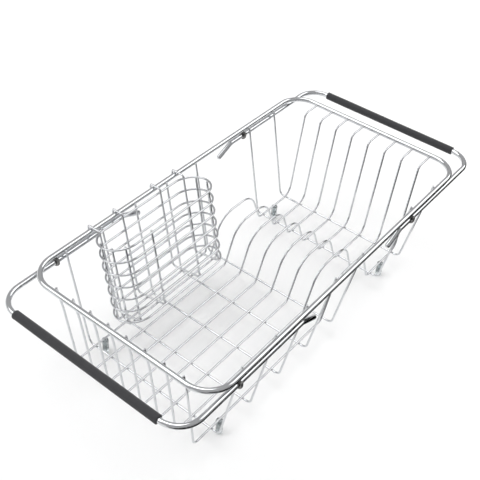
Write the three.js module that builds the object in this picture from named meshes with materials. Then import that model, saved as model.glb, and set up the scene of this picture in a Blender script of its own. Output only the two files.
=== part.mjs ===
// Expandable dish drying rack: a wire basket under a round steel rim, two sliding arms that
// lengthen it to span a sink, and a wire utensil basket that hooks over the far side of the rim.
// Millimetres. +X runs along the rack, +Y towards the utensil side, +Z up. Pieces are drawn
// from the middle of the rim, and the whole rack is raised at the end to stand on z = 0.

import * as THREE from 'three';

// Rim
const rimLength = 377;
const rimWidth = 200;
const rimCornerRadius = 25;
const rimRodDiameter = 5;

// Wire basket
const basketDepth = 102;
const floorWidth = 155;
const wireDiameter = 2;
const wireBendRadius = 6;
const wireTipRise = 1.5;
const crossWireInset = 22.8;
const crossWirePitch = 42;
const floorWireCount = 8;
const floorWireSpread = 138.2;

// End walls of the basket, drawn by the floor wires as they turn up
const nearEndInset = 12.5;
const nearEndFlareHeight = 73;
const nearEndFlareInset = 4.5;
const nearEndFlareRadius = 40;
const farEndInset = 35;
const farEndBendRadius = 14;
const farShoulderLength = 20;

// Plate arch, one in every floor wire
const archStart = 12;
const archEnd = 94;
const archHeight = 41.8;
const archFlankRun = 17;
const archTopRadius = 24;
const archFootRadius = 6;

// Sliding arms and their grips
const armRodDiameter = 5;
const armReach = 32.5;
const armCornerRadius = 22;
const armLegEnd = 77;
const armTipRun = 20;
const armTipDrop = 9;
const armTipBendRadius = 5;
const gripLength = 155.5;
const gripDiameter = 8;

// Guides under the rim that carry the arms
const guideLength = 2.4;
const guideWall = 1.6;
const leftGuideSetback = 9.3;
const rightGuideSetback = 6.3;

// Feet
const nearFootSetback = 10.7;
const farFootSetback = 22.3;
const footDiameter = 6.5;
const footHeight = 16;
const footPinDiameter = 3;
const footFloorThickness = 3;

// Utensil basket
const holderLength = 132;
const holderWidth = 40;
const holderPlace = -61.5;
const holderWireDiameter = 2;
const holderRingCount = 7;
const holderFloorLift = 20.4;
const holderDrop = 2;
const holderFloorDrop = 3;
const holderFloorBendRadius = 4;
const hangerOffsets = [-54.5, -24.5, 24.5, 54.5];
const endWireOffsets = [-7, 7];
const hookLegDrop = 4;
const hookBendRadius = 2;

// Gap left between neighbouring pieces
const clearance = 0.3;

// Facets
const rodSides = 10;
const wireSides = 6;
const bendStep = 22;
const cornerSteps = 7;

const rimRadius = rimRodDiameter / 2;
const wireRadius = wireDiameter / 2;
const armRadius = armRodDiameter / 2;
const holderWireRadius = holderWireDiameter / 2;
const armLevel = -(rimRadius + clearance + guideWall + clearance + armRadius);
const wallTop = rimWidth / 2 - rimRadius - clearance - wireRadius;
const floorWireLevel = wireDiameter + clearance - basketDepth;

// How far out something may stand at a place y along the end of the rim, if it keeps this
// far from the middle of the rim rod
function endReach(y, distance) {
  const intoCorner = Math.max(Math.abs(y) - (rimWidth / 2 - rimCornerRadius), 0);
  const innerRadius = rimCornerRadius - distance;
  return rimLength / 2 - rimCornerRadius + Math.sqrt(innerRadius ** 2 - intoCorner ** 2);
}
const wireFromRim = rimRadius + clearance + wireRadius;
const endTop = endReach(0, wireFromRim);

// Cross wires stand at one pitch, and none stands under the level part of the plate arches
const crossWirePlaces = [];
const firstCrossWire = -endTop + nearEndInset + crossWireInset;
for (let x = firstCrossWire; x < endTop - farEndInset; x += crossWirePitch) {
  const underArches = x > archStart + archFlankRun && x < archEnd - archFlankRun;
  if (!underArches) {
    crossWirePlaces.push(x);
  }
}
const lastCrossWire = crossWirePlaces[crossWirePlaces.length - 1];
const crossWirePastArches = crossWirePlaces.find((x) => x > archEnd);

const steel = { color: 0xc8cacc, roughness: 0.16, metalness: 1 };
const darkFoam = { color: 0x38383a, roughness: 0.8, metalness: 0 };
const clearPlastic = { color: 0xdfe6e8, roughness: 0.2, metalness: 0 };

const rack = new THREE.Group();
rack.name = 'dish_drying_rack';

function addPiece(name, geometry, finish) {
  const piece = new THREE.Mesh(geometry, new THREE.MeshStandardMaterial(finish));
  piece.name = name;
  rack.add(piece);
  return piece;
}

// Sweeps a regular polygon along a list of points. An open rod gets flat ends.
function rodGeometry(path, radius, sides, closed = false) {
  const count = path.length;
  const positions = [];
  const indices = [];
  const tangentAt = (i) => {
    const before = closed ? path[(i + count - 1) % count] : path[Math.max(i - 1, 0)];
    const after = closed ? path[(i + 1) % count] : path[Math.min(i + 1, count - 1)];
    const back = path[i].clone().sub(before).normalize();
    const forward = after.clone().sub(path[i]).normalize();
    return back.add(forward).normalize();
  };
  let tangent = tangentAt(0);
  const reference = Math.abs(tangent.x) < 0.8 ? new THREE.Vector3(1, 0, 0) : new THREE.Vector3(0, 1, 0);
  let normal = reference.sub(tangent.clone().multiplyScalar(reference.dot(tangent))).normalize();
  for (let i = 0; i < count; i += 1) {
    const next = tangentAt(i);
    const turn = new THREE.Quaternion().setFromUnitVectors(tangent, next);
    normal = normal.applyQuaternion(turn).normalize();
    tangent = next;
    const side = tangent.clone().cross(normal);
    for (let j = 0; j < sides; j += 1) {
      const angle = (j / sides) * Math.PI * 2;
      const point = path[i].clone();
      point.addScaledVector(normal, radius * Math.cos(angle));
      point.addScaledVector(side, radius * Math.sin(angle));
      positions.push(point.x, point.y, point.z);
    }
  }
  const lastRow = closed ? count : count - 1;
  for (let i = 0; i < lastRow; i += 1) {
    const row = i * sides;
    const nextRow = ((i + 1) % count) * sides;
    for (let j = 0; j < sides; j += 1) {
      const k = (j + 1) % sides;
      indices.push(row + j, row + k, nextRow + j);
      indices.push(row + k, nextRow + k, nextRow + j);
    }
  }
  if (!closed) {
    const end = (count - 1) * sides;
    for (let j = 1; j < sides - 1; j += 1) {
      indices.push(0, j + 1, j);
      indices.push(end, end + j, end + j + 1);
    }
  }
  const geometry = new THREE.BufferGeometry();
  geometry.setAttribute('position', new THREE.Float32BufferAttribute(positions, 3));
  geometry.setIndex(indices);
  geometry.computeVertexNormals();
  return geometry;
}

// Turns a list of sharp corners, each [x, y, z, bend radius], into a path with round bends.
function bentPath(corners) {
  const points = corners.map(([x, y, z]) => new THREE.Vector3(x, y, z));
  const path = [points[0]];
  for (let i = 1; i < points.length - 1; i += 1) {
    const incoming = points[i].clone().sub(points[i - 1]).normalize();
    const outgoing = points[i + 1].clone().sub(points[i]).normalize();
    const turn = incoming.angleTo(outgoing);
    const radius = corners[i][3];
    const setback = radius * Math.tan(turn / 2);
    const axis = incoming.clone().cross(outgoing).normalize();
    const start = points[i].clone().addScaledVector(incoming, -setback);
    const toCentre = axis.clone().cross(incoming).multiplyScalar(radius);
    const centre = start.clone().add(toCentre);
    const steps = Math.max(1, Math.ceil(THREE.MathUtils.radToDeg(turn) / bendStep));
    for (let step = 0; step <= steps; step += 1) {
      const arm = toCentre.clone().negate().applyAxisAngle(axis, (turn * step) / steps);
      path.push(centre.clone().add(arm));
    }
  }
  path.push(points[points.length - 1]);
  return path;
}

// A closed rounded rectangle in the XY plane, centred on the origin.
function loopPath(length, width, cornerRadius, steps) {
  const path = [];
  const corners = [[1, 1], [-1, 1], [-1, -1], [1, -1]];
  corners.forEach(([alongX, alongY], quarter) => {
    const centreX = alongX * (length / 2 - cornerRadius);
    const centreY = alongY * (width / 2 - cornerRadius);
    for (let step = 0; step <= steps; step += 1) {
      const angle = (quarter + step / steps) * (Math.PI / 2);
      const x = centreX + cornerRadius * Math.cos(angle);
      const y = centreY + cornerRadius * Math.sin(angle);
      const point = new THREE.Vector3(x, y, 0);
      const previous = path[path.length - 1];
      if (!previous || previous.distanceTo(point) > 0.01) {
        path.push(point);
      }
    }
  });
  if (path[0].distanceTo(path[path.length - 1]) < 0.01) {
    path.pop();
  }
  return path;
}

// Rim
const rimPath = loopPath(rimLength, rimWidth, rimCornerRadius, cornerSteps);
addPiece('rim', rodGeometry(rimPath, rimRadius, rodSides, true), steel);

// Cross wires: across the floor and up both long walls to the inside of the rim
crossWirePlaces.forEach((x, index) => {
  const path = bentPath([
    [x, -wallTop, wireTipRise],
    [x, -wallTop, 0, wireBendRadius],
    [x, -floorWidth / 2, -basketDepth, wireBendRadius],
    [x, floorWidth / 2, -basketDepth, wireBendRadius],
    [x, wallTop, 0, wireBendRadius],
    [x, wallTop, wireTipRise],
  ]);
  addPiece(`cross_wire_${index + 1}`, rodGeometry(path, wireRadius, wireSides), steel);
});

// Floor wires: up the near end wall, along the floor, over the plate arch, up the far end wall
const floorWirePitch = floorWireSpread / (floorWireCount - 1);
const floorWirePlaces = Array.from(
  { length: floorWireCount },
  (_, index) => floorWireSpread / 2 - index * floorWirePitch,
);
const archTop = floorWireLevel + archHeight;
floorWirePlaces.forEach((y, index) => {
  const tipFace = Math.abs(y) + wireRadius;
  const path = bentPath([
    [-endReach(y, wireFromRim), y, wireTipRise],
    [-endTop + nearEndFlareInset, y, floorWireLevel + nearEndFlareHeight, nearEndFlareRadius],
    [-endTop + nearEndInset, y, floorWireLevel, wireBendRadius],
    [archStart, y, floorWireLevel, archFootRadius],
    [archStart + archFlankRun, y, archTop, archTopRadius],
    [archEnd - archFlankRun, y, archTop, archTopRadius],
    [archEnd, y, floorWireLevel, archFootRadius],
    [endTop - farEndInset, y, floorWireLevel, farEndBendRadius],
    [endTop - farShoulderLength, y, 0, wireBendRadius],
    [endReach(tipFace, rimRadius + clearance), y, 0],
  ]);
  addPiece(`floor_wire_${index + 1}`, rodGeometry(path, wireRadius, wireSides), steel);
});

// Arm guides: a strap loop under each long side of the rim, one pair for each arm
function guideGeometry(x, y) {
  const boreRadius = armRadius + clearance;
  const halfWidth = boreRadius + guideWall;
  const top = -rimRadius - clearance;
  const outline = new THREE.Shape();
  outline.moveTo(y + halfWidth, armLevel);
  outline.lineTo(y + halfWidth, top);
  outline.lineTo(y - halfWidth, top);
  outline.lineTo(y - halfWidth, armLevel);
  outline.absarc(y, armLevel, halfWidth, Math.PI, Math.PI * 2, false);
  const bore = new THREE.Path();
  bore.absarc(y, armLevel, boreRadius, 0, Math.PI * 2, true);
  outline.holes.push(bore);
  const geometry = new THREE.ExtrudeGeometry(outline, {
    depth: guideLength,
    bevelEnabled: false,
    curveSegments: 8,
  });
  geometry.rotateX(Math.PI / 2);
  geometry.rotateZ(Math.PI / 2);
  geometry.translate(x - guideLength / 2, 0, 0);
  return geometry;
}
const leftGuidePlace = firstCrossWire - leftGuideSetback;
const rightGuidePlace = crossWirePastArches - rightGuideSetback;
const guides = [
  ['guide_left_back', leftGuidePlace, 1],
  ['guide_left_front', leftGuidePlace, -1],
  ['guide_right_back', rightGuidePlace, 1],
  ['guide_right_front', rightGuidePlace, -1],
];
guides.forEach(([name, x, side]) => {
  addPiece(name, guideGeometry(x, side * rimWidth / 2), steel);
});

// Arms: a U of rod whose two legs run in the guides and end in a stop that is bent down
const armBarPlace = rimLength / 2 + armReach;
const grips = [['left', -1], ['right', 1]];
grips.forEach(([side, sign]) => {
  const half = rimWidth / 2;
  const tip = sign * (armLegEnd - armTipRun);
  const path = bentPath([
    [tip, half, armLevel - armTipDrop],
    [sign * armLegEnd, half, armLevel, armTipBendRadius],
    [sign * armBarPlace, half, armLevel, armCornerRadius],
    [sign * armBarPlace, -half, armLevel, armCornerRadius],
    [sign * armLegEnd, -half, armLevel, armTipBendRadius],
    [tip, -half, armLevel - armTipDrop],
  ]);
  addPiece(`${side}_arm`, rodGeometry(path, armRadius, rodSides), steel);

  const boreRadius = armRadius + clearance;
  const gripRadius = gripDiameter / 2;
  const profile = [
    new THREE.Vector2(boreRadius, -gripLength / 2),
    new THREE.Vector2(gripRadius, -gripLength / 2),
    new THREE.Vector2(gripRadius, gripLength / 2),
    new THREE.Vector2(boreRadius, gripLength / 2),
    new THREE.Vector2(boreRadius, -gripLength / 2),
  ];
  const grip = new THREE.LatheGeometry(profile, 18);
  grip.translate(sign * armBarPlace, 0, armLevel);
  addPiece(`${side}_grip`, grip, darkFoam);
});

// Feet: a steel pin under the outermost floor wires, in a clear plastic cap
const pinRadius = footPinDiameter / 2;
const footTop = floorWireLevel - wireRadius - clearance;
const footBase = footTop - footHeight;
const nearFootPlace = firstCrossWire + nearFootSetback;
const farFootPlace = lastCrossWire - farFootSetback;
const feet = [
  ['left_back', nearFootPlace, floorWirePlaces[0]],
  ['left_front', nearFootPlace, floorWirePlaces[floorWireCount - 1]],
  ['right_back', farFootPlace, floorWirePlaces[0]],
  ['right_front', farFootPlace, floorWirePlaces[floorWireCount - 1]],
];
feet.forEach(([corner, x, y]) => {
  const pinLength = footHeight - footFloorThickness - clearance;
  const pin = new THREE.CylinderGeometry(pinRadius, pinRadius, pinLength, 12);
  pin.rotateX(Math.PI / 2);
  pin.translate(x, y, footTop - pinLength / 2);
  addPiece(`foot_pin_${corner}`, pin, steel);

  const boreRadius = pinRadius + clearance;
  const capTop = footTop - clearance;
  const cap = new THREE.LatheGeometry([
    new THREE.Vector2(0, footBase),
    new THREE.Vector2(footDiameter / 2 - 1, footBase),
    new THREE.Vector2(footDiameter / 2, footBase + 1),
    new THREE.Vector2(footDiameter / 2, capTop - 1),
    new THREE.Vector2(footDiameter / 2 - 1, capTop),
    new THREE.Vector2(boreRadius, capTop),
    new THREE.Vector2(boreRadius, footBase + footFloorThickness),
    new THREE.Vector2(0, footBase + footFloorThickness),
  ], 20);
  cap.rotateX(Math.PI / 2);
  cap.translate(x, y, 0);
  addPiece(`foot_cap_${corner}`, cap, clearPlastic);
});

// Utensil basket: it leans at the slope of the long wall and lies one clearance off its wires
const wallLean = Math.atan2(wallTop - floorWidth / 2, basketDepth);
const holderSetback = wireRadius + clearance + holderWireRadius + holderWidth / 2;
const leanSine = Math.sin(wallLean);
const leanCosine = Math.cos(wallLean);
const holderHeight = (basketDepth - holderFloorLift) / leanCosine - holderDrop;
const holderRingPitch = holderHeight / (holderRingCount - 1);

// Maps the utensil basket's own axes (along, across, up) to the rack's
function holderPoint(along, across, up) {
  const outward = across - holderSetback;
  const rise = up - holderDrop;
  return new THREE.Vector3(
    holderPlace + along,
    wallTop + outward * leanCosine + rise * leanSine,
    -outward * leanSine + rise * leanCosine,
  );
}

const ringPath = loopPath(holderLength, holderWidth, holderWidth / 2, cornerSteps);
for (let ring = 0; ring < holderRingCount; ring += 1) {
  const path = ringPath.map(({ x, y }) => holderPoint(x, y, -ring * holderRingPitch));
  addPiece(`holder_ring_${ring + 1}`, rodGeometry(path, holderWireRadius, wireSides, true), steel);
}

// Distance from the middle to a wire that lies just inside the rings
const liningRadius = holderWidth / 2 - holderWireDiameter - clearance;
const roundEndCentre = holderLength / 2 - holderWidth / 2;
function liningAcross(along) {
  const intoEnd = Math.max(Math.abs(along) - roundEndCentre, 0);
  return Math.sqrt(liningRadius ** 2 - intoEnd ** 2);
}
function liningAlong(across) {
  return roundEndCentre + Math.sqrt(liningRadius ** 2 - across ** 2);
}
const holderFloor = -holderHeight - holderFloorDrop;

// Hangers: down the front of the utensil basket, under it, up the back and over the rim
const hookLevel = rimRadius + clearance + holderWireRadius;
const hookLeg = rimWidth / 2 + rimRadius + 2 * clearance + holderWireRadius;
hangerOffsets.forEach((along, index) => {
  const across = liningAcross(along);
  const frontTop = holderPoint(along, -across, holderWireRadius);
  const frontFoot = holderPoint(along, -across, holderFloor);
  const backFoot = holderPoint(along, across, holderFloor);
  const backStep = (hookLevel - backFoot.z) * Math.tan(wallLean);
  const path = bentPath([
    frontTop.toArray(),
    [...frontFoot.toArray(), holderFloorBendRadius],
    [...backFoot.toArray(), holderFloorBendRadius],
    [backFoot.x, backFoot.y + backStep, hookLevel, hookBendRadius],
    [backFoot.x, hookLeg, hookLevel, hookBendRadius],
    [backFoot.x, hookLeg, -hookLegDrop],
  ]);
  addPiece(`holder_hanger_${index + 1}`, rodGeometry(path, holderWireRadius, wireSides), steel);
});

// End wires: down one round end, along under the hangers, up the other end
const endWireFloor = holderFloor - holderWireDiameter - clearance;
endWireOffsets.forEach((across, index) => {
  const along = liningAlong(across);
  const path = bentPath([
    holderPoint(-along, across, holderWireRadius).toArray(),
    [...holderPoint(-along, across, endWireFloor).toArray(), holderFloorBendRadius],
    [...holderPoint(along, across, endWireFloor).toArray(), holderFloorBendRadius],
    holderPoint(along, across, holderWireRadius).toArray(),
  ]);
  addPiece(`holder_end_wire_${index + 1}`, rodGeometry(path, holderWireRadius, wireSides), steel);
});

// Stand the rack on its feet
rack.position.z = -footBase;
rack.updateMatrixWorld(true);

export default rack;
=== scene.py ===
import math

import bmesh
import bpy
from mathutils import Matrix, Vector


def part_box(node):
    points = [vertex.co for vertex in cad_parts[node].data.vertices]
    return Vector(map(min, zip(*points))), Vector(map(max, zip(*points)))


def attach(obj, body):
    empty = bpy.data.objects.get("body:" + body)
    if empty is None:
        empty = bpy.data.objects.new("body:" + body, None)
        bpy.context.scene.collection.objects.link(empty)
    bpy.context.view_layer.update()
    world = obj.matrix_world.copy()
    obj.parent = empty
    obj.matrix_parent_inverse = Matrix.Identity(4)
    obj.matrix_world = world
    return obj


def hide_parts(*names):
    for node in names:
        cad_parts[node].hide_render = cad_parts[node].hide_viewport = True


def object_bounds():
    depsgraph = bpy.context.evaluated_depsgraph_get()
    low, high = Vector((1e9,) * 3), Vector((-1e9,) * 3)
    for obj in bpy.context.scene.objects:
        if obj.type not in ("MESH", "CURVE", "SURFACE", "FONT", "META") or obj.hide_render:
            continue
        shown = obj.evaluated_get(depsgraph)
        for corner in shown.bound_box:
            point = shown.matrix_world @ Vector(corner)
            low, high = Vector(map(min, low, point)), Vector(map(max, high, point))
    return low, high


# Looks for the dish drying rack. All lengths in the dictionaries are millimetres unless a
# name or a note says otherwise, and Z = 0 is the surface that the feet stand on.

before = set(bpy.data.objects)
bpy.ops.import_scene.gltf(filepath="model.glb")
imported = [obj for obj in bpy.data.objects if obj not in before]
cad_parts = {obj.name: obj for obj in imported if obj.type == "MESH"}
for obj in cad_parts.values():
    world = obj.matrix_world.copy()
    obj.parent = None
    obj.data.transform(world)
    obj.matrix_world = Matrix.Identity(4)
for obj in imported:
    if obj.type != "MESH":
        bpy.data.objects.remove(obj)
cadLow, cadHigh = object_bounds()

# the rim is the piece that all the others hang from, so its place sets theirs
rimLow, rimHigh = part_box("rim")
rimLevel = (rimLow.z + rimHigh.z) * 500
rimRodDiameter = 5      # millimetres; the faceted CAD rod reads a little thin in its box
rimRadius = rimRodDiameter / 2


# small helpers

def metres(values):
    return tuple(v / 1000 for v in values)


def linearColour(hexCode):
    # sRGB hex to the linear values that shaders take
    channels = [int(hexCode[i:i + 2], 16) / 255 for i in (1, 3, 5)]
    return tuple(c / 12.92 if c <= 0.04045 else ((c + 0.055) / 1.055) ** 2.4 for c in channels) + (1.0,)


def addNode(tree, kind, settings=None, values=None, links=None):
    # settings are the node's own properties, values its sockets, links what feeds a socket
    node = tree.nodes.new(kind)
    for name, value in (settings or {}).items():
        setattr(node, name, value)
    for name, value in (values or {}).items():
        node.inputs[name].default_value = value
    for name, source in (links or {}).items():
        tree.links.new(source, node.inputs[name])
    return node


def newMaterial(name):
    material = bpy.data.materials.new(name)
    material.use_nodes = True
    tree = material.node_tree
    return material, tree, tree.nodes["Principled BSDF"]


def pointMesh(name, paths, closed=False):
    # one loose-edge mesh that holds every path of a piece; "sectionScale" rounds the rod ends
    points, edges, scales = [], [], []
    for path in paths:
        first = len(points)
        count = len(path)
        points += [metres(p) for p, scale in path]
        scales += [scale for p, scale in path]
        edges += [(first + i, first + i + 1) for i in range(count - 1)]
        if closed:
            edges.append((first + count - 1, first))
    mesh = bpy.data.meshes.new(name)
    mesh.from_pydata(points, edges, [])
    layer = mesh.attributes.new("sectionScale", "FLOAT", "POINT")
    layer.data.foreach_set("value", scales)
    return mesh


# materials

def finishSurface(tree, shader, look, toneMask, roughnessMask, height):
    # tone and roughness run between a look's two ends, and height gives the fine relief
    tone = addNode(tree, "ShaderNodeMix", {"data_type": "RGBA"},
                   {6: linearColour(look["colours"][0]), 7: linearColour(look["colours"][1])},
                   {"Factor": toneMask})
    maskRange = look.get("maskRange", (0.0, 1.0))
    roughness = addNode(tree, "ShaderNodeMapRange", None,
                        {"From Min": maskRange[0], "From Max": maskRange[1],
                         "To Min": look["roughness"][0], "To Max": look["roughness"][1]},
                        {"Value": roughnessMask})
    bump = addNode(tree, "ShaderNodeBump", None,
                   {"Strength": look["bumpStrength"], "Distance": look["bumpMm"] / 1000},
                   {"Height": height})
    tree.links.new(tone.outputs[2], shader.inputs["Base Color"])
    tree.links.new(roughness.outputs["Result"], shader.inputs["Roughness"])
    tree.links.new(bump.outputs["Normal"], shader.inputs["Normal"])


# Wire and rod: AISI 304 stainless, drawn, welded, then electropolished. That gives the eye a
# mirror with hard dark and bright lines along each wire, softened by very fine draw marks.
steelLook = {
    "colours": ("#C4C6C9", "#D9DADC"),
    "roughness": (0.05, 0.15),
    "drawMarkMm": 0.35,      # real draw marks are near 0.05 mm; drawn coarser so that they show
    "drawMarkStretch": 0.02,     # they run fifty times as long along the wire
    "drawMarkShare": 0.6,    # of the marks in the polish, beside the clouds
    "maskRange": (0.45, 1.15),
    "bumpStrength": 0.35,
    "bumpMm": 0.004,
    "cloudMm": 14,           # slow change of polish along a wire
}

polishedSteel, tree, shader = newMaterial("electropolishedStainlessWire")
objectPlace = addNode(tree, "ShaderNodeTexCoord").outputs["Object"]
wireMap = addNode(tree, "ShaderNodeUVMap", {"uv_map": "wireMap"}).outputs["UV"]
stretch = addNode(tree, "ShaderNodeMapping", None,
                  {"Scale": (1.0, steelLook["drawMarkStretch"], 1.0)}, {"Vector": wireMap})
drawMarks = addNode(tree, "ShaderNodeTexNoise", None,
                    {"Scale": 1000 / steelLook["drawMarkMm"], "Detail": 3.0, "Roughness": 0.6},
                    {"Vector": stretch.outputs["Vector"]})
clouds = addNode(tree, "ShaderNodeTexNoise", None,
                 {"Scale": 1000 / steelLook["cloudMm"], "Detail": 4.0, "Roughness": 0.55},
                 {"Vector": objectPlace})
polish = addNode(tree, "ShaderNodeMath", {"operation": "MULTIPLY_ADD"},
                 {1: steelLook["drawMarkShare"]},
                 {0: drawMarks.outputs["Fac"], 2: clouds.outputs["Fac"]})
finishSurface(tree, shader, steelLook, clouds.outputs["Fac"], polish.outputs[0],
              drawMarks.outputs["Fac"])
shader.inputs["Metallic"].default_value = 1.0

# Weld spots: the same steel where resistance welding upset it, a little duller and warmer
weldLook = {"colours": ("#8F8B86", "#B4B2AE"), "roughness": (0.22, 0.42), "grainMm": 0.6,
            "bumpStrength": 0.4, "bumpMm": 0.04}

# Guide straps: short stainless straps bent and welded on, in a darker, duller grey than the wire.
# That gives a dark tick on the bright arm rod.
strapLook = {"colours": ("#636261", "#8E8D8B"), "roughness": (0.2, 0.36), "grainMm": 1.1,
             "bumpStrength": 0.4, "bumpMm": 0.04}


# metal mottled by fine grain between a look's two colours; the weld spots and the darker grey guide
# straps use it
def dullGrainedSteel(name, look):
    finish, tree, shader = newMaterial(name)
    objectPlace = addNode(tree, "ShaderNodeTexCoord").outputs["Object"]
    grain = addNode(tree, "ShaderNodeTexNoise", None,
                    {"Scale": 1000 / look["grainMm"], "Detail": 4.0, "Roughness": 0.6},
                    {"Vector": objectPlace}).outputs["Fac"]
    finishSurface(tree, shader, look, grain, grain, grain)
    shader.inputs["Metallic"].default_value = 1.0
    return finish


weldedSteel = dullGrainedSteel("resistanceWeldedStainless", weldLook)
strapSteel = dullGrainedSteel("darkGreyStainlessStrap", strapLook)

# Grip: extruded closed-cell EPDM foam sleeve with its skin on. Matt charcoal, with a fine
# pebble of cells just under the skin and a faint greyer bloom.
foamLook = {
    "colours": ("#2B2B2D", "#414144"),
    "roughness": (0.62, 0.86),
    "cellMm": 0.55,          # skin pebble; the cells themselves are near 0.2 mm
    "mottleMm": 5.88,        # patches of the greyer bloom
    "bumpStrength": 0.6,
    "bumpMm": 0.05,
    "specular": 0.42,
    "sheen": 0.12,
}

foamSleeve, tree, shader = newMaterial("epdmFoamSleeve")
objectPlace = addNode(tree, "ShaderNodeTexCoord").outputs["Object"]
cells = addNode(tree, "ShaderNodeTexVoronoi", None,
                {"Scale": 1000 / foamLook["cellMm"], "Randomness": 1.0}, {"Vector": objectPlace})
mottle = addNode(tree, "ShaderNodeTexNoise", None,
                 {"Scale": 1000 / foamLook["mottleMm"], "Detail": 5.0, "Roughness": 0.6},
                 {"Vector": objectPlace}).outputs["Fac"]
finishSurface(tree, shader, foamLook, mottle, mottle, cells.outputs["Distance"])
shader.inputs["Specular IOR Level"].default_value = foamLook["specular"]
shader.inputs["Sheen Weight"].default_value = foamLook["sheen"]
shader.inputs["Sheen Roughness"].default_value = 0.5

# Foot cap: clear soft PVC, dip moulded. It shows the pin inside, with a wet-looking skin and
# the slight cloud of a plasticised wall.
pvcLook = {"colours": ("#EEF3F4", "#DDE6E8"), "roughness": (0.06, 0.2), "swirlMm": 3.0,
           "bumpStrength": 0.25, "bumpMm": 0.2, "ior": 1.53, "clearness": 0.92}

clearPvc, tree, shader = newMaterial("clearSoftPvcCap")
objectPlace = addNode(tree, "ShaderNodeTexCoord").outputs["Object"]
swirl = addNode(tree, "ShaderNodeTexNoise", None,
                {"Scale": 1000 / pvcLook["swirlMm"], "Detail": 3.0, "Distortion": 0.6},
                {"Vector": objectPlace}).outputs["Fac"]
finishSurface(tree, shader, pvcLook, swirl, swirl, swirl)
shader.inputs["IOR"].default_value = pvcLook["ior"]
shader.inputs["Transmission Weight"].default_value = pvcLook["clearness"]
print("materials: steel, weld, strap, foam, clear PVC")


# paths

def bentPath(corners, stepDegrees=6):
    # corners are (x, y, z, bend radius); every inner corner becomes a round bend
    points = [Vector(c[:3]) for c in corners]
    path = [points[0]]
    for i in range(1, len(points) - 1):
        incoming = (points[i] - points[i - 1]).normalized()
        outgoing = (points[i + 1] - points[i]).normalized()
        turn = incoming.angle(outgoing)
        radius = corners[i][3]
        setback = radius * math.tan(turn / 2)
        axis = incoming.cross(outgoing).normalized()
        start = points[i] - incoming * setback
        toCentre = axis.cross(incoming) * radius
        centre = start + toCentre
        steps = max(2, math.ceil(math.degrees(turn) / stepDegrees))
        for step in range(steps + 1):
            path.append(centre + Matrix.Rotation(turn * step / steps, 3, axis) @ -toCentre)
    path.append(points[-1])
    return path


def loopPath(length, width, cornerRadius, steps):
    # a closed rounded rectangle round the origin, as (x, y) pairs
    path = []
    for quarter, (alongX, alongY) in enumerate([(1, 1), (-1, 1), (-1, -1), (1, -1)]):
        centre = Vector((alongX * (length / 2 - cornerRadius), alongY * (width / 2 - cornerRadius)))
        for step in range(steps + 1):
            angle = (quarter + step / steps) * math.pi / 2
            point = centre + cornerRadius * Vector((math.cos(angle), math.sin(angle)))
            if not path or (path[-1] - point).length > 0.01:
                path.append(point)
    if (path[0] - path[-1]).length < 0.01:
        path.pop()
    return path


def fullSection(path):
    # a closed loop keeps its whole section all the way round
    return [(point, 1.0) for point in path]


wireEnd = {"degrees": 78, "depth": 0.7, "steps": 4}     # depth is a share of the wire's radius


def roundedEnds(path, radius):
    # a cut and tumbled wire end: the last part of the section draws in on a small radius
    full = math.radians(wireEnd["degrees"])
    caps = []
    for tip, inner in [(path[0], path[1]), (path[-1], path[-2])]:
        inward = (inner - tip).normalized()
        cap = []
        for step in range(wireEnd["steps"] + 1):
            angle = full * (1 - step / wireEnd["steps"])
            depth = radius * wireEnd["depth"] * (1 - math.sin(angle) / math.sin(full))
            cap.append((tip + inward * depth, math.cos(angle)))
        caps.append(cap)
    return caps[0] + fullSection(path[1:-1]) + caps[1][::-1]


def arc(across, up, radius, start, end, steps):
    # points round a centre, from one angle to another in degrees
    angles = [math.radians(start + (end - start) * i / steps) for i in range(steps + 1)]
    return [(across + radius * math.cos(a), up + radius * math.sin(a)) for a in angles]


# trees for swept wire and weld spots

def startTree(name, inputs):
    # an empty tree with its named inputs; gives the tree and what those inputs feed
    tree = bpy.data.node_groups.new(name, "GeometryNodeTree")
    panel = tree.interface
    panel.new_socket("Geometry", in_out="INPUT", socket_type="NodeSocketGeometry")
    for inputName, kind in inputs:
        panel.new_socket(inputName, in_out="INPUT", socket_type="NodeSocket" + kind)
    panel.new_socket("Geometry", in_out="OUTPUT", socket_type="NodeSocketGeometry")
    return tree, addNode(tree, "NodeGroupInput").outputs


def endTree(tree, geometry, finish):
    smooth = addNode(tree, "GeometryNodeSetShadeSmooth", None, None, {"Geometry": geometry})
    real = addNode(tree, "GeometryNodeRealizeInstances", None, None,
                   {"Geometry": smooth.outputs["Geometry"]})
    finished = addNode(tree, "GeometryNodeSetMaterial", None, None,
                       {"Geometry": real.outputs["Geometry"], "Material": finish})
    addNode(tree, "NodeGroupOutput", None, None, {"Geometry": finished.outputs["Geometry"]})


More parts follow.
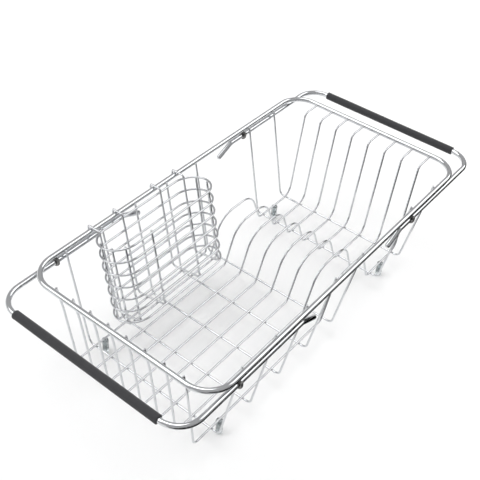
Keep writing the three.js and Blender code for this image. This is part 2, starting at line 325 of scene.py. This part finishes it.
def wireTree():
    # sweeps a round section along every path, and keeps how far along and around each point is
    tree, given = startTree("wireAlongPath", [("Wire Diameter", "Float"), ("Section Sides", "Int"),
                                              ("Finish", "Material")])
    curve = addNode(tree, "GeometryNodeMeshToCurve", None, None, {"Mesh": given["Geometry"]})
    along = addNode(tree, "GeometryNodeSplineParameter")
    keepAlong = addNode(tree, "GeometryNodeStoreNamedAttribute",
                        {"data_type": "FLOAT", "domain": "POINT"}, {"Name": "alongWire"},
                        {"Geometry": curve.outputs["Curve"], "Value": along.outputs["Length"]})
    radius = addNode(tree, "ShaderNodeMath", {"operation": "MULTIPLY"}, {1: 0.5},
                     {0: given["Wire Diameter"]})
    section = addNode(tree, "GeometryNodeCurvePrimitiveCircle", None, None,
                      {"Resolution": given["Section Sides"], "Radius": radius.outputs[0]})
    around = addNode(tree, "GeometryNodeSplineParameter")
    keepAround = addNode(tree, "GeometryNodeStoreNamedAttribute",
                         {"data_type": "FLOAT", "domain": "POINT"}, {"Name": "aroundWire"},
                         {"Geometry": section.outputs["Curve"], "Value": around.outputs["Length"]})
    scale = addNode(tree, "GeometryNodeInputNamedAttribute", {"data_type": "FLOAT"},
                    {"Name": "sectionScale"})
    sweep = addNode(tree, "GeometryNodeCurveToMesh", None, {"Fill Caps": True},
                    {"Curve": keepAlong.outputs["Geometry"],
                     "Profile Curve": keepAround.outputs["Geometry"],
                     "Scale": scale.outputs["Attribute"]})
    readAlong = addNode(tree, "GeometryNodeInputNamedAttribute", {"data_type": "FLOAT"},
                        {"Name": "alongWire"})
    readAround = addNode(tree, "GeometryNodeInputNamedAttribute", {"data_type": "FLOAT"},
                         {"Name": "aroundWire"})
    both = addNode(tree, "ShaderNodeCombineXYZ", None, None,
                   {"X": readAround.outputs["Attribute"], "Y": readAlong.outputs["Attribute"]})
    wireMap = addNode(tree, "GeometryNodeStoreNamedAttribute",
                      {"data_type": "FLOAT2", "domain": "CORNER"}, {"Name": "wireMap"},
                      {"Geometry": sweep.outputs["Mesh"], "Value": both.outputs["Vector"]})
    endTree(tree, wireMap.outputs["Geometry"], given["Finish"])
    return tree


def weldTree():
    # a flattened bead of upset metal at every point, sized a little at random
    tree, given = startTree("weldSpotsOnPoints", [("Spot Diameter", "Float"), ("Size Spread", "Float"),
                                                  ("Spot Flatness", "Float"), ("Seed", "Int"),
                                                  ("Finish", "Material")])
    points = addNode(tree, "GeometryNodeMeshToPoints", None, None, {"Mesh": given["Geometry"]})
    radius = addNode(tree, "ShaderNodeMath", {"operation": "MULTIPLY"}, {1: 0.5},
                     {0: given["Spot Diameter"]})
    bead = addNode(tree, "GeometryNodeMeshUVSphere", None, {"Segments": 10, "Rings": 6},
                   {"Radius": radius.outputs[0]})
    small = addNode(tree, "ShaderNodeMath", {"operation": "SUBTRACT"}, {0: 1.0},
                    {1: given["Size Spread"]})
    large = addNode(tree, "ShaderNodeMath", {"operation": "ADD"}, {0: 1.0},
                    {1: given["Size Spread"]})
    size = addNode(tree, "FunctionNodeRandomValue", {"data_type": "FLOAT"}, None,
                   {2: small.outputs[0], 3: large.outputs[0], "Seed": given["Seed"]})
    squashed = addNode(tree, "ShaderNodeCombineXYZ", None, None,
                       {"X": size.outputs[1], "Y": size.outputs[1], "Z": given["Spot Flatness"]})
    spots = addNode(tree, "GeometryNodeInstanceOnPoints", None, None,
                    {"Points": points.outputs["Points"], "Instance": bead.outputs["Mesh"],
                     "Scale": squashed.outputs["Vector"]})
    endTree(tree, spots.outputs["Instances"], given["Finish"])
    return tree


sweepWire = wireTree()
beadWelds = weldTree()


def growPiece(name, sourceMesh, tree, inputs):
    # runs a tree on a source mesh and keeps only the plain mesh that comes out
    source = bpy.data.objects.new(name + "Source", sourceMesh)
    bpy.context.scene.collection.objects.link(source)
    grown = source.modifiers.new("grow", "NODES")
    grown.node_group = tree
    sockets = {item.name: item.identifier for item in tree.interface.items_tree
               if item.item_type == "SOCKET" and item.in_out == "INPUT"}
    for socketName, value in inputs.items():
        grown[sockets[socketName]] = value
    depsgraph = bpy.context.evaluated_depsgraph_get()
    mesh = bpy.data.meshes.new_from_object(source.evaluated_get(depsgraph), depsgraph=depsgraph)
    mesh.name = name
    source.modifiers.clear()
    bpy.data.objects.remove(source)
    piece = bpy.data.objects.new(name, mesh)
    bpy.context.scene.collection.objects.link(piece)
    return piece


def sweptWire(name, paths, diameter, sides, closed=False):
    # one piece of polished wire or rod, with all its paths
    return growPiece(name, pointMesh(name + "Path", paths, closed), sweepWire,
                     {"Wire Diameter": diameter / 1000, "Section Sides": sides,
                      "Finish": polishedSteel})


def joinMeshes(name, pieces):
    # one plain mesh, with each part's material kept
    with bpy.context.temp_override(active_object=pieces[0], selected_editable_objects=pieces,
                                   selected_objects=pieces, object=pieces[0]):
        bpy.ops.object.join()
    pieces[0].name = name
    pieces[0].data.name = name
    return pieces[0]


def place(piece, body, nodes):
    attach(piece, body)
    if nodes:
        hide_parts(*nodes)


def nodesOf(kind):
    return [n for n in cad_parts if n.startswith(kind)]


# rim

rim = {
    "length": (rimHigh.x - rimLow.x) * 1000 - 2 * rimRadius,    # centre to centre
    "width": (rimHigh.y - rimLow.y) * 1000 - 2 * rimRadius,
    "cornerRadius": 25,
    "cornerSteps": 24,
    "rodDiameter": rimRodDiameter,
    "sides": 28,
}
gap = 0.3                    # left between neighbouring pieces, as in the frame
rimOutline = loopPath(rim["length"], rim["width"], rim["cornerRadius"], rim["cornerSteps"])
rimLoop = [Vector((p.x, p.y, rimLevel)) for p in rimOutline]
rimPiece = sweptWire("rimRod", [fullSection(rimLoop)], rim["rodDiameter"], rim["sides"], closed=True)
place(rimPiece, "basket", ["rim"])
print("rim done")


# wire basket

basket = {
    "depth": 102,
    "floorWidth": 155,
    "wireDiameter": 2,
    "bendRadius": 6,
    "tipRise": 1.5,
    "crossInset": 22.8,
    "crossPitch": 42,
    "floorWires": 8,
    "floorSpread": 138.2,
    "nearInset": 12.5,
    "nearFlareHeight": 73,
    "nearFlareInset": 4.5,
    "nearFlareRadius": 40,
    "farInset": 35,
    "farBendRadius": 14,
    "farShoulder": 20,
    "archStart": 12,
    "archEnd": 94,
    "archHeight": 41.8,
    "archFlank": 17,
    "archTopRadius": 24,
    "archFootRadius": 6,
    "sides": 18,
}
wireRadius = basket["wireDiameter"] / 2
wallTop = rim["width"] / 2 - rimRadius - gap - wireRadius
endTop = rim["length"] / 2 - rimRadius - gap - wireRadius
floorLevel = basket["wireDiameter"] + gap - basket["depth"]
nearFloor = -endTop + basket["nearInset"]
farFloor = endTop - basket["farInset"]

# cross wires at one pitch, with none under the tops of the arches
archTopStart = basket["archStart"] + basket["archFlank"]
archTopEnd = basket["archEnd"] - basket["archFlank"]
crossPlaces = []
nextPlace = nearFloor + basket["crossInset"]
while nextPlace < farFloor:
    if not archTopStart < nextPlace < archTopEnd:
        crossPlaces.append(nextPlace)
    nextPlace += basket["crossPitch"]
floorPitch = basket["floorSpread"] / (basket["floorWires"] - 1)
floorPlaces = [basket["floorSpread"] / 2 - i * floorPitch for i in range(basket["floorWires"])]


def onRack(x, y, z, radius=0.0):
    # heights in this file's lists are taken from the middle of the rim
    return (x, y, z + rimLevel, radius)


def crossWire(x):
    bend = basket["bendRadius"]
    half = basket["floorWidth"] / 2
    return bentPath([
        onRack(x, -wallTop, basket["tipRise"]),
        onRack(x, -wallTop, 0, bend),
        onRack(x, -half, -basket["depth"], bend),
        onRack(x, half, -basket["depth"], bend),
        onRack(x, wallTop, 0, bend),
        onRack(x, wallTop, basket["tipRise"]),
    ])


def floorWire(y):
    archTop = floorLevel + basket["archHeight"]
    return bentPath([
        onRack(-endTop, y, basket["tipRise"]),
        onRack(-endTop + basket["nearFlareInset"], y, floorLevel + basket["nearFlareHeight"],
               basket["nearFlareRadius"]),
        onRack(nearFloor, y, floorLevel, basket["bendRadius"]),
        onRack(basket["archStart"], y, floorLevel, basket["archFootRadius"]),
        onRack(archTopStart, y, archTop, basket["archTopRadius"]),
        onRack(archTopEnd, y, archTop, basket["archTopRadius"]),
        onRack(basket["archEnd"], y, floorLevel, basket["archFootRadius"]),
        onRack(farFloor, y, floorLevel, basket["farBendRadius"]),
        onRack(endTop - basket["farShoulder"], y, 0, basket["bendRadius"]),
        onRack(rim["length"] / 2 - rimRadius - gap, y, 0),
    ])


for name, wire, places, nodes in [
        ("crossWires", crossWire, crossPlaces, nodesOf("cross_wire_")),
        ("floorAndArchWires", floorWire, floorPlaces, nodesOf("floor_wire_"))]:
    wires = sweptWire(name, [roundedEnds(wire(p), wireRadius) for p in places],
                      basket["wireDiameter"], basket["sides"])
    place(wires, "basket", nodes)
print("basket wires done:", len(crossPlaces), "across,", len(floorPlaces), "along")


# sliding arms and their guides

arm = {
    "rodDiameter": 5,
    "reach": 32.5,
    "cornerRadius": 22,
    "legEnd": 77,
    "tipRun": 20,
    "tipDrop": 9,
    "tipBendRadius": 5,
    "bendStep": 4,           # degrees
    "sides": 28,
}
guide = {"length": 2.4, "wall": 1.6, "edgeRadius": 0.5, "edgeSteps": 3, "strapSteps": 20,
         "boreSides": 40}
armRadius = arm["rodDiameter"] / 2
armLevel = -(rimRadius + gap + guide["wall"] + gap + armRadius)
armBar = rim["length"] / 2 + arm["reach"]

for side, sign in [("left", -1), ("right", 1)]:
    half = rim["width"] / 2
    tip = sign * (arm["legEnd"] - arm["tipRun"])
    path = bentPath([
        onRack(tip, half, armLevel - arm["tipDrop"]),
        onRack(sign * arm["legEnd"], half, armLevel, arm["tipBendRadius"]),
        onRack(sign * armBar, half, armLevel, arm["cornerRadius"]),
        onRack(sign * armBar, -half, armLevel, arm["cornerRadius"]),
        onRack(sign * arm["legEnd"], -half, armLevel, arm["tipBendRadius"]),
        onRack(tip, -half, armLevel - arm["tipDrop"]),
    ], arm["bendStep"])
    rod = sweptWire(side + "ArmRod", [roundedEnds(path, armRadius)], arm["rodDiameter"], arm["sides"])
    place(rod, side + "_arm", [side + "_arm"])


def meshPiece(name, builder, material, bevelMm=0.0, bevelSteps=1, smoothDegrees=40):
    # builder fills a bmesh in millimetres; edges sharper than 50 degrees get the bevel
    work = bmesh.new()
    builder(work)
    bmesh.ops.recalc_face_normals(work, faces=work.faces)
    if bevelMm:
        sharp = [e for e in work.edges
                 if len(e.link_faces) == 2 and e.calc_face_angle(0) > math.radians(50)]
        bmesh.ops.bevel(work, geom=sharp, offset=bevelMm, segments=bevelSteps, profile=0.5,
                        affect="EDGES", clamp_overlap=True)
    bmesh.ops.scale(work, vec=(0.001, 0.001, 0.001), verts=work.verts)
    for face in work.faces:
        face.smooth = True
    mesh = bpy.data.meshes.new(name)
    work.to_mesh(mesh)
    work.free()
    mesh.materials.append(material)
    mesh.set_sharp_from_angle(angle=math.radians(smoothDegrees))
    piece = bpy.data.objects.new(name, mesh)
    bpy.context.scene.collection.objects.link(piece)
    return piece


def guideLoop(work, x, y):
    # a strap bent round the arm rod, its two flat ends welded up under the rim
    bore = armRadius + gap
    outer = bore + guide["wall"]
    level = armLevel + rimLevel
    top = rimLevel - rimRadius - gap
    outline = [(outer, top)] + arc(0, level, outer, 0, -180, guide["strapSteps"]) + [(-outer, top)]
    hole = arc(0, level, bore, 0, 360, guide["boreSides"])[:-1]
    rings = []
    for depth in (-guide["length"] / 2, guide["length"] / 2):
        outerRing = [work.verts.new((x + depth, y + p[0], p[1])) for p in outline]
        holeRing = [work.verts.new((x + depth, y + p[0], p[1])) for p in hole]
        edges = [work.edges.new((ring[i], ring[(i + 1) % len(ring)]))
                 for ring in (outerRing, holeRing) for i in range(len(ring))]
        bmesh.ops.triangle_fill(work, use_beauty=True, edges=edges)
        rings.append((outerRing, holeRing))
    for near, far in zip(rings[0], rings[1]):
        count = len(near)
        for i in range(count):
            work.faces.new((near[i], near[(i + 1) % count], far[(i + 1) % count], far[i]))


guideNodes = nodesOf("guide_")
guideParts = []
for node in sorted(guideNodes):
    low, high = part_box(node)
    middle = (low + high) * 500
    guideParts.append(meshPiece(node + "Strap", lambda work, m=middle: guideLoop(work, m.x, m.y),
                                strapSteel, guide["edgeRadius"], guide["edgeSteps"]))
place(joinMeshes("armGuideStraps", guideParts), "basket", guideNodes)
print("arms and guides done")


# grips

grip = {
    "length": 155.5,
    "diameter": 8,
    "endRadius": 0.7,
    "endSteps": 6,
    "swell": 0.06,                                # extruded foam is never quite even
    "ripples": [(0.6, 9.2, 0.4), (0.4, 23.0, 1.7)],     # share, radians over the length, start
    "rings": 60,
    "sides": 48,
}


def gripSleeve(work, x):
    # profile runs in at one end, along the outside, in at the other end and back through the bore
    bore = armRadius + gap
    outer = grip["diameter"] / 2
    half = grip["length"] / 2
    edge = grip["endRadius"]
    profile = [(bore, -half)] + arc(outer - edge, -half + edge, edge, -90, 0, grip["endSteps"])
    for i in range(1, grip["rings"]):
        t = i / grip["rings"]
        ripple = sum(share * math.sin(rate * t + start) for share, rate, start in grip["ripples"])
        profile.append((outer + grip["swell"] * (ripple - 1), -half + edge + t * (2 * half - 2 * edge)))
    profile += arc(outer - edge, half - edge, edge, 0, 90, grip["endSteps"]) + [(bore, half)]
    rows = []
    for radius, along in profile:
        circle = arc(x, armLevel + rimLevel, radius, 0, 360, grip["sides"])[:-1]
        rows.append([work.verts.new((across, along, up)) for across, up in circle])
    for near, far in zip(rows, rows[1:] + rows[:1]):
        for j in range(grip["sides"]):
            k = (j + 1) % grip["sides"]
            work.faces.new((near[j], near[k], far[k], far[j]))


for side, sign in [("left", -1), ("right", 1)]:
    sleeve = meshPiece(side + "GripSleeve", lambda work, s=sign: gripSleeve(work, s * armBar),
                       foamSleeve)
    place(sleeve, side + "_arm", [side + "_grip"])
print("grips done")


# feet

foot = {
    "diameter": 6.5,
    "height": 16,
    "floor": 3,
    "edgeRadius": 0.6,
    "edgeSteps": 5,
    "wallDraw": 0.3,          # how far the wall draws in below its thicker top band
    "wallMiddle": 0.45,       # share of the height where it has drawn in by half of that
    "bandFoot": 4.2,          # the band's lower end, and where it is full, from the top
    "bandStart": 3.4,
    "bandRelief": 0.06,
    "mouthRadius": 0.35,
    "mouthSteps": 3,
    "boreFloorEdge": (0.4, 0.5),      # inset and rise of the sloped edge round the bore's floor
    "sides": 40,
}
pin = {"diameter": 3, "footRadius": 0.4, "footSteps": 3, "topRadius": 0.15, "topSteps": 2, "sides": 24}
lathedSmooth = 50         # degrees; sharper edges of a turned part stay crisp


def turned(work, profile, x, y, sides):
    # a closed lathe shape; points on the axis become one pole
    rows = []
    for radius, height in profile:
        if radius < 1e-6:
            rows.append([work.verts.new((x, y, height))])
        else:
            circle = arc(x, y, radius, 0, 360, sides)[:-1]
            rows.append([work.verts.new((*point, height)) for point in circle])
    for near, far in zip(rows, rows[1:]):
        for j in range(sides):
            k = (j + 1) % sides
            if len(near) == 1:
                work.faces.new((near[0], far[j], far[k]))
            elif len(far) == 1:
                work.faces.new((near[j], near[k], far[0]))
            else:
                work.faces.new((near[j], near[k], far[k], far[j]))


def capProfile(base, top):
    outer, edge = foot["diameter"] / 2, foot["edgeRadius"]
    bore, mouth = pin["diameter"] / 2 + gap, foot["mouthRadius"]
    floor = base + foot["floor"]
    inset, rise = foot["boreFloorEdge"]
    profile = [(0, base)] + arc(outer - edge, base + edge, edge, -90, 0, foot["edgeSteps"])
    profile += [
        (outer - foot["wallDraw"] * 0.5, base + foot["height"] * foot["wallMiddle"]),
        (outer - foot["wallDraw"], top - foot["bandFoot"]),
        (outer - foot["bandRelief"], top - foot["bandStart"]),
    ]
    profile += arc(outer - edge, top - edge, edge, 0, 90, foot["edgeSteps"])
    profile += arc(bore + mouth, top - mouth, mouth, 90, 180, foot["mouthSteps"])
    return profile + [(bore, floor + rise), (bore - inset, floor), (0, floor)]


def pinProfile(base, top):
    radius, low, high = pin["diameter"] / 2, pin["footRadius"], pin["topRadius"]
    profile = [(0, base)] + arc(radius - low, base + low, low, -90, 0, pin["footSteps"])
    return profile + arc(radius - high, top - high, high, 0, 90, pin["topSteps"]) + [(0, top)]


for name, kind, slot, profileOf, finish, sides in [
        ("clearFootCaps", "foot_cap_", "clear_plastic", capProfile, clearPvc, foot["sides"]),
        ("footPins", "foot_pin_", "steel", pinProfile, polishedSteel, pin["sides"])]:
    nodes = sorted(nodesOf(kind))
    parts = []
    for node in nodes:
        low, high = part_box(node)
        middle = (low + high) * 500
        profile = profileOf(low.z * 1000, high.z * 1000)
        parts.append(meshPiece(node + "Lathed",
                               lambda work, p=profile, m=middle: turned(work, p, m.x, m.y, sides),
                               finish, smoothDegrees=lathedSmooth))
    place(joinMeshes(name, parts), "basket", nodes)
print("feet done")


# utensil basket

holder = {
    "length": 132,
    "width": 40,
    "place": -61.5,
    "wireDiameter": 2,
    "rings": 7,
    "floorLift": 20.4,
    "drop": 2,
    "floorDrop": 3,
    "floorBend": 4,
    "hangers": [-54.5, -24.5, 24.5, 54.5],
    "endWires": [-7, 7],
    "hookDrop": 4,
    "hookBend": 2,
    "ringSteps": 18,
    "sides": 16,
}
holderRadius = holder["wireDiameter"] / 2
lean = math.atan2(wallTop - basket["floorWidth"] / 2, basket["depth"])
setback = wireRadius + gap + holderRadius + holder["width"] / 2
holderHeight = (basket["depth"] - holder["floorLift"]) / math.cos(lean) - holder["drop"]
ringPitch = holderHeight / (holder["rings"] - 1)
holderFloor = -holderHeight - holder["floorDrop"]


def holderPoint(along, across, up):
    # the holder's own axes lean with the long wall of the basket
    outward = across - setback
    rise = up - holder["drop"]
    return (holder["place"] + along,
            wallTop + outward * math.cos(lean) + rise * math.sin(lean),
            rimLevel - outward * math.sin(lean) + rise * math.cos(lean))


liningRadius = holder["width"] / 2 - holder["wireDiameter"] - gap
roundEnd = holder["length"] / 2 - holder["width"] / 2
ringLoop = loopPath(holder["length"], holder["width"], holder["width"] / 2, holder["ringSteps"])
ringPaths = [fullSection([Vector(holderPoint(p.x, p.y, -i * ringPitch)) for p in ringLoop])
             for i in range(holder["rings"])]


def ringReach(radius, aside):
    # half the inside of a round-ended ring, measured across it at some distance from its middle
    return math.sqrt(radius ** 2 - aside ** 2)


hookLevel = rimRadius + gap + holderRadius
hookLeg = rim["width"] / 2 + rimRadius + 2 * gap + holderRadius
hangerPaths = []
for along in holder["hangers"]:
    across = ringReach(liningRadius, max(abs(along) - roundEnd, 0))
    backFoot = holderPoint(along, across, holderFloor)
    backStep = (hookLevel - (backFoot[2] - rimLevel)) * math.tan(lean)
    hangerPaths.append(roundedEnds(bentPath([
        (*holderPoint(along, -across, holderRadius), 0),
        (*holderPoint(along, -across, holderFloor), holder["floorBend"]),
        (*backFoot, holder["floorBend"]),
        onRack(backFoot[0], backFoot[1] + backStep, hookLevel, holder["hookBend"]),
        onRack(backFoot[0], hookLeg, hookLevel, holder["hookBend"]),
        onRack(backFoot[0], hookLeg, -holder["hookDrop"]),
    ]), holderRadius))

endFloor = holderFloor - holder["wireDiameter"] - gap
endPaths = []
for across in holder["endWires"]:
    along = roundEnd + ringReach(liningRadius, across)
    endPaths.append(roundedEnds(bentPath([
        (*holderPoint(-along, across, holderRadius), 0),
        (*holderPoint(-along, across, endFloor), holder["floorBend"]),
        (*holderPoint(along, across, endFloor), holder["floorBend"]),
        (*holderPoint(along, across, holderRadius), 0),
    ]), holderRadius))

for name, paths, closed, kind in [("utensilRings", ringPaths, True, "holder_ring_"),
                                  ("utensilHangers", hangerPaths, False, "holder_hanger_"),
                                  ("utensilEndWires", endPaths, False, "holder_end_wire_")]:
    wires = sweptWire(name, paths, holder["wireDiameter"], holder["sides"], closed)
    place(wires, "utensil_basket", nodesOf(kind))
print("utensil basket done")


# weld spots

weld = {
    "basketSpot": 1.6,
    "holderSpot": 1.5,
    "rimSpot": 1.9,
    "rimDrop": 0.2,           # rim spots sit a little under the rod's middle
    "farMargin": 8,           # no floor spot where the far wall's bend begins
    "flatness": 0.62,
    "spread": 0.12,
    "seed": 7,
}


def spotMesh(name, points):
    mesh = bpy.data.meshes.new(name)
    mesh.from_pydata([metres(p) for p in points], [], [])
    return mesh


floorSpots = []
for x in crossPlaces:
    underArch = basket["archStart"] < x < basket["archEnd"]
    if not underArch and x < farFloor - weld["farMargin"]:
        floorSpots += [(x, y, rimLevel + floorLevel - wireRadius - gap / 2) for y in floorPlaces]
rimSpotLevel = rimLevel - weld["rimDrop"]
rimSpots = [(x, sign * (wallTop + wireRadius + gap / 2), rimSpotLevel)
            for x in crossPlaces for sign in (-1, 1)]
rimSpots += [(-endTop - wireRadius - gap / 2, y, rimSpotLevel) for y in floorPlaces]
rimSpots += [(rim["length"] / 2 - rimRadius - gap / 2, y, rimLevel) for y in floorPlaces]
holderSpots = []
spotRadius = liningRadius + holderRadius + gap / 2
for along in holder["hangers"]:
    across = ringReach(spotRadius, max(abs(along) - roundEnd, 0))
    for i in range(holder["rings"]):
        holderSpots += [holderPoint(along, sign * across, -i * ringPitch) for sign in (-1, 1)]
    for crossing in holder["endWires"]:
        holderSpots.append(holderPoint(along, crossing, holderFloor - holderRadius - gap / 2))
for crossing in holder["endWires"]:
    reach = roundEnd + ringReach(spotRadius, crossing)
    for i in range(holder["rings"]):
        holderSpots += [holderPoint(sign * reach, crossing, -i * ringPitch) for sign in (-1, 1)]

for name, body, points, size in [("floorWeldSpots", "basket", floorSpots, weld["basketSpot"]),
                                 ("rimWeldSpots", "basket", rimSpots, weld["rimSpot"]),
                                 ("utensilWeldSpots", "utensil_basket", holderSpots, weld["holderSpot"])]:
    spots = growPiece(name, spotMesh(name + "Points", points), beadWelds,
                      {"Spot Diameter": size / 1000, "Size Spread": weld["spread"],
                       "Spot Flatness": weld["flatness"], "Seed": weld["seed"],
                       "Finish": weldedSteel})
    place(spots, body, [])
print("weld spots done:", len(floorSpots) + len(rimSpots) + len(holderSpots))


# floor, light and camera

studio = {
    "floorColour": "#FFFFFF",
    "floorSize": 16.0,            # metres, as are all the lengths in this dictionary
    "floorDrop": 0.0005,          # floor just under the feet, card just above the floor
    "cardLift": 0.0002,
    "backdropHeight": 8.0,
    "sky": 0.52,                  # strength of the even pale room
    "tableCard": ((-1.3, -0.8), (1.6, -0.125)),
    "screenMiddle": -60,          # degrees round from +X
    "screenHalfArc": 80,          # degrees
    "screenRadius": 2.2,
    "screenHeight": 0.47,
    "screenSteps": 16,
    "lampDistance": 1.6,
}
# where each softbox stands, in degrees round from the front long side and up, the degrees
# that it fills, and its irradiance in W/m2
softboxes = {
    "topSoftbox": {"azimuth": 170, "elevation": 75, "spread": 32, "strength": 0.75},
    "frontSoftbox": {"azimuth": 64, "elevation": 43, "spread": 44, "strength": 0.85},
    "backSoftbox": {"azimuth": -142, "elevation": 44, "spread": 40, "strength": 0.75},
}


def stageSheet(name, corners, faces, finish, seenOnlyBy=None):
    mesh = bpy.data.meshes.new(name)
    mesh.from_pydata(corners, [], faces)
    mesh.materials.append(finish)
    sheet = bpy.data.objects.new(name, mesh)
    bpy.context.scene.collection.objects.link(sheet)
    if seenOnlyBy:
        for ray in ("camera", "diffuse", "glossy", "transmission", "shadow"):
            setattr(sheet, "visible_" + ray, ray == seenOnlyBy)


def rectangle(low, high, z):
    return [(low[0], low[1], z), (high[0], low[1], z), (high[0], high[1], z), (low[0], high[1], z)]


# Floor: white uncoated paper, calendered. Matt and even, with a trace of fibre.
paperLook = {"fibreMm": 1.111, "bumpStrength": 0.05, "bumpMm": 0.2, "roughness": 0.9}

paper, tree, shader = newMaterial("paperSweep")
objectPlace = addNode(tree, "ShaderNodeTexCoord").outputs["Object"]
fibre = addNode(tree, "ShaderNodeTexNoise", None,
                {"Scale": 1000 / paperLook["fibreMm"], "Detail": 3.0}, {"Vector": objectPlace})
bump = addNode(tree, "ShaderNodeBump", None,
               {"Strength": paperLook["bumpStrength"], "Distance": paperLook["bumpMm"] / 1000},
               {"Height": fibre.outputs["Fac"]})
tree.links.new(bump.outputs["Normal"], shader.inputs["Normal"])
shader.inputs["Base Color"].default_value = linearColour(studio["floorColour"])
shader.inputs["Roughness"].default_value = paperLook["roughness"]
half = studio["floorSize"] / 2
floorCorners = rectangle((-half, -half), (half, half), -studio["floorDrop"])
stageSheet("floor", floorCorners, [(0, 1, 2, 3)], paper)

# white walls at the floor's edges, there only so that a low view has no dark horizon
white, tree, shader = newMaterial("backdropWhite")
shader.inputs["Base Color"].default_value = (0.0, 0.0, 0.0, 1.0)
shader.inputs["Emission Color"].default_value = (1.0, 1.0, 1.0, 1.0)
shader.inputs["Emission Strength"].default_value = 1.0
wallCorners = floorCorners + rectangle((-half, -half), (half, half), studio["backdropHeight"])
walls = [(i, (i + 1) % 4, (i + 1) % 4 + 4, i + 4) for i in range(4)]
stageSheet("backdrop", wallCorners, walls, white, "camera")

world = bpy.data.worlds.new("studio")
bpy.context.scene.world = world
world.use_nodes = True
background = world.node_tree.nodes["Background"]
background.inputs["Strength"].default_value = studio["sky"]
background.inputs["Color"].default_value = (1.0, 1.0, 1.0, 1.0)

# Black cotton flock, on a card on the table and on a low screen before the rack. It gives the
# polished steel its dark lines, throws no shadow, and only mirrored light meets it.
black, tree, shader = newMaterial("blackFlock")
shader.inputs["Base Color"].default_value = (0.002, 0.002, 0.002, 1.0)
shader.inputs["Roughness"].default_value = 1.0
shader.inputs["Specular IOR Level"].default_value = 0.0
stageSheet("tableCard", rectangle(*studio["tableCard"], studio["cardLift"]), [(0, 1, 2, 3)], black,
           "glossy")
screenSteps = studio["screenSteps"]
screenCorners = []
for step in range(screenSteps + 1):
    turn = math.radians(studio["screenMiddle"] + studio["screenHalfArc"] * (2 * step / screenSteps - 1))
    x, y = studio["screenRadius"] * math.cos(turn), studio["screenRadius"] * math.sin(turn)
    screenCorners += [(x, y, 0.0), (x, y, studio["screenHeight"])]
stageSheet("lowScreen", screenCorners,
           [(2 * i, 2 * i + 2, 2 * i + 3, 2 * i + 1) for i in range(screenSteps)], black, "glossy")

# a wide sun stands for a softbox that is large and far off, so the whole floor is lit alike
middle = (cadLow + cadHigh) / 2
for name, softbox in softboxes.items():
    sun = bpy.data.lights.new(name, "SUN")
    sun.angle = math.radians(softbox["spread"])
    sun.energy = softbox["strength"]
    light = bpy.data.objects.new(name, sun)
    a, e = math.radians(softbox["azimuth"]), math.radians(softbox["elevation"])
    back = Vector((math.sin(a) * math.cos(e), -math.cos(a) * math.cos(e), math.sin(e)))
    light.location = middle + back * studio["lampDistance"]
    light.rotation_euler = (-back).to_track_quat("-Z", "Y").to_euler()
    bpy.context.scene.collection.objects.link(light)

camera = {
    "place": (-475.74, -327.89, 484.89 + rimLevel),
    "lookAt": (-38.95, -5.2, rimLevel),
    "rollDegrees": 3.56,
    "lensMm": 62.25,
    "sensorMm": 36.0,
    "clipMetres": (0.02, 50.0),
}
cameraData = bpy.data.cameras.new("camera")
cameraData.lens = camera["lensMm"]
cameraData.sensor_width = camera["sensorMm"]
cameraData.clip_start, cameraData.clip_end = camera["clipMetres"]
cameraObject = bpy.data.objects.new("camera", cameraData)
cameraPlace = Vector(metres(camera["place"]))
forward = (Vector(metres(camera["lookAt"])) - cameraPlace).normalized()
level = forward.to_track_quat("-Z", "Y").to_matrix()
roll = Matrix.Rotation(math.radians(camera["rollDegrees"]), 3, "Z")
cameraObject.matrix_world = Matrix.Translation(cameraPlace) @ (level @ roll).to_4x4()
bpy.context.scene.collection.objects.link(cameraObject)
bpy.context.scene.camera = cameraObject
bpy.context.scene.view_settings.view_transform = "Standard"
print("studio done")
